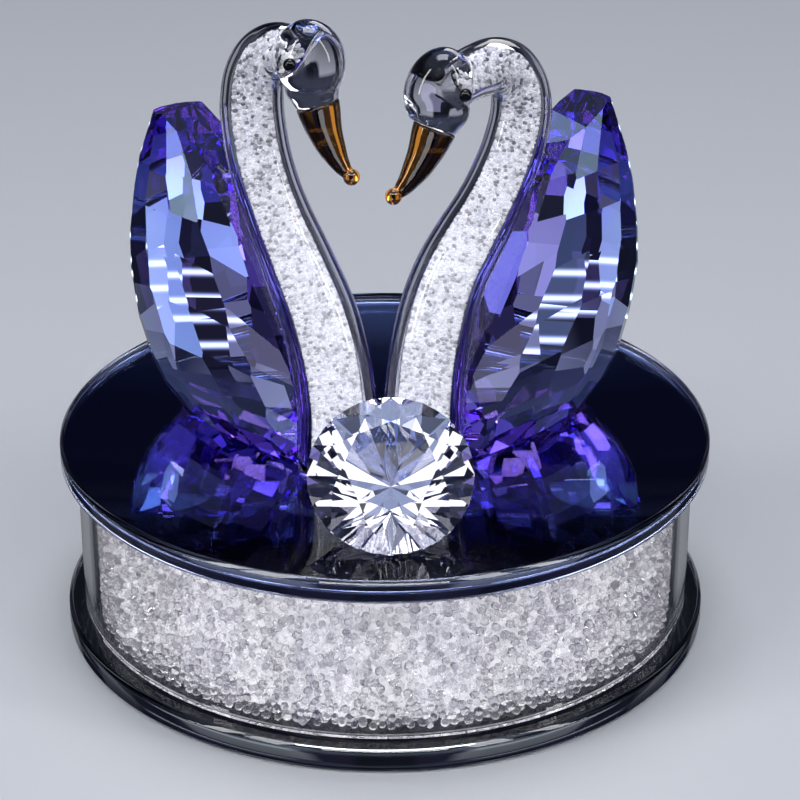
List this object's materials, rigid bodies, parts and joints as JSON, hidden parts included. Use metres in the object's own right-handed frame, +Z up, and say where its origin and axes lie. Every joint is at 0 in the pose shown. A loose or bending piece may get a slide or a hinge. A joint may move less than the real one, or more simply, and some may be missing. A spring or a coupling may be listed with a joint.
{
  "type": "crystal swan couple figurine",
  "caption": "Swan couple figurine: clear glass necks filled with crystal chips, blue cut-crystal bodies and a cut glass diamond on a mirrored drum of chips.",
  "frame": {"origin": "centre of the bottom plate's underside", "axes": "+Z up, -Y towards the front, where the diamond stands; +X to the right seen from the front"},
  "size_m": [0.12, 0.12, 0.1202],
  "materials": {
    "clear_glass": "polished, clear",
    "mirror_glass": "polished glass over a dark mirror coating",
    "crystal_chips": "loose broken crystal chips, sparkling",
    "blue_crystal": "cut and polished violet-blue crystal",
    "neck_glass": "polished, clear",
    "amber_glass": "polished amber glass",
    "black_glass": "black glass beads, glossy",
    "diamond_crystal": "brilliant cut, polished"
  },
  "bodies": {
    "root": {"bottom_plate": "clear_glass", "drum_wall": "clear_glass", "drum_crystal_chips": "crystal_chips", "top_plate": "mirror_glass", "diamond": "diamond_crystal", "left_swan_body": "blue_crystal", "left_swan_neck": "neck_glass", "left_swan_beak": "amber_glass", "left_swan_left_eye": "black_glass", "left_swan_right_eye": "black_glass", "right_swan_body": "blue_crystal", "right_swan_neck": "neck_glass", "right_swan_beak": "amber_glass", "right_swan_left_eye": "black_glass", "right_swan_right_eye": "black_glass"}
  },
  "joints": []
}
